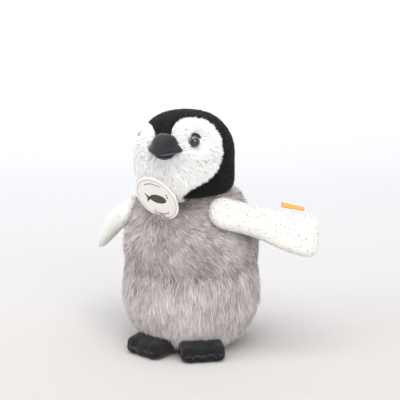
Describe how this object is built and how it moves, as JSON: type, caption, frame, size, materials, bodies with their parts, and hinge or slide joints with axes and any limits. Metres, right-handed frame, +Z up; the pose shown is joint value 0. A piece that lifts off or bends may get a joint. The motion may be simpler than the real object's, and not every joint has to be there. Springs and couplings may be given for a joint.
{
  "type": "plush penguin",
  "caption": "Small standing plush penguin chick with a grey body, black hood, white face and wings, velour feet, a felt beak and a chest tag.",
  "frame": {"origin": "on the floor under the middle of the body, at the centre of the base panel", "axes": "+Z up, the front with the beak faces -Y, the penguin's left wing is on +X"},
  "size_m": [0.166, 0.0902, 0.1535],
  "materials": {
    "fibre_filling": "matte",
    "grey_plush": "matte",
    "grey_backing": "matte",
    "pouch_cloth": "matte",
    "pellets": "matte",
    "grey_thread": "matte",
    "black_plush": "matte",
    "white_shag": "matte",
    "washer_plastic": "matte",
    "eye_plastic": "gloss",
    "charcoal_felt": "matte",
    "white_plush": "matte",
    "orange_ribbon": "satin",
    "black_velour": "matte",
    "black_thread": "matte",
    "tag_board": "satin",
    "cream_thread": "matte"
  },
  "bodies": {
    "torso": {"body_base_panel": "grey_backing", "body_front_panel": "grey_plush", "body_back_left_panel": "grey_plush", "body_back_right_panel": "grey_plush", "pellet_pouch": "pouch_cloth", "pellets": "pellets", "body_stuffing": "fibre_filling"},
    "neck": {"neck_stuffing": "fibre_filling", "neck_seam_thread": "grey_thread"},
    "head": {"hood_gusset": "black_plush", "hood_left_panel": "black_plush", "hood_right_panel": "black_plush", "face_left_panel": "white_shag", "face_right_panel": "white_shag", "head_stuffing": "fibre_filling", "eye_left": "eye_plastic", "eye_washer_left": "washer_plastic", "eye_right": "eye_plastic", "eye_washer_right": "washer_plastic", "beak_upper": "charcoal_felt", "beak_lower": "charcoal_felt", "beak_stuffing": "fibre_filling"},
    "left_wing": {"left_wing_front_panel": "white_plush", "left_wing_back_panel": "white_plush", "left_wing_stuffing": "fibre_filling", "wing_tab": "orange_ribbon"},
    "right_wing": {"right_wing_front_panel": "white_plush", "right_wing_back_panel": "white_plush", "right_wing_stuffing": "fibre_filling"},
    "left_foot": {"left_foot_upper": "black_velour", "left_foot_sole": "black_velour", "left_foot_stuffing": "fibre_filling", "left_toe_stitches": "black_thread"},
    "right_foot": {"right_foot_upper": "black_velour", "right_foot_sole": "black_velour", "right_foot_stuffing": "fibre_filling", "right_toe_stitches": "black_thread"},
    "chest_tag": {"tag_card": "tag_board", "tag_thread": "cream_thread"}
  },
  "joints": [
    {"name": "head_nod", "type": "hinge", "parent": "torso", "child": "neck", "pos_m": [0, 0, 0.066], "axis": [-1, 0, 0], "range_deg": [0, 15], "stiffness_Nm_per_rad": 0.2},
    {"name": "head_turn", "type": "hinge", "parent": "neck", "child": "head", "pos_m": [0, 0, 0.106], "axis": [0, 0, 1], "range_deg": [-20, 20], "stiffness_Nm_per_rad": 0.1},
    {"name": "left_wing_flap", "type": "hinge", "parent": "torso", "child": "left_wing", "pos_m": [0.03025, -0.0204, 0.09451], "axis": [0.5104, -0.3443, -0.788], "range_deg": [0, 65], "stiffness_Nm_per_rad": 0.05},
    {"name": "right_wing_flap", "type": "hinge", "parent": "torso", "child": "right_wing", "pos_m": [-0.03324, -0.02242, 0.08915], "axis": [0.4145, 0.2796, 0.866], "range_deg": [0, 65], "stiffness_Nm_per_rad": 0.05},
    {"name": "left_foot_flex", "type": "hinge", "parent": "torso", "child": "left_foot", "pos_m": [0.02121, -0.02528, 0.0145], "axis": [-0.766, -0.6428, 0], "range_deg": [0, 25], "stiffness_Nm_per_rad": 0.05},
    {"name": "right_foot_flex", "type": "hinge", "parent": "torso", "child": "right_foot", "pos_m": [-0.00686, -0.03228, 0.0145], "axis": [-0.9781, 0.2079, 0], "range_deg": [0, 25], "stiffness_Nm_per_rad": 0.05},
    {"name": "tag_swing", "type": "hinge", "parent": "torso", "child": "chest_tag", "pos_m": [0.001, -0.036, 0.0924], "axis": [0.9903, -0.1392, 0], "range_deg": [0, 105]}
  ]
}
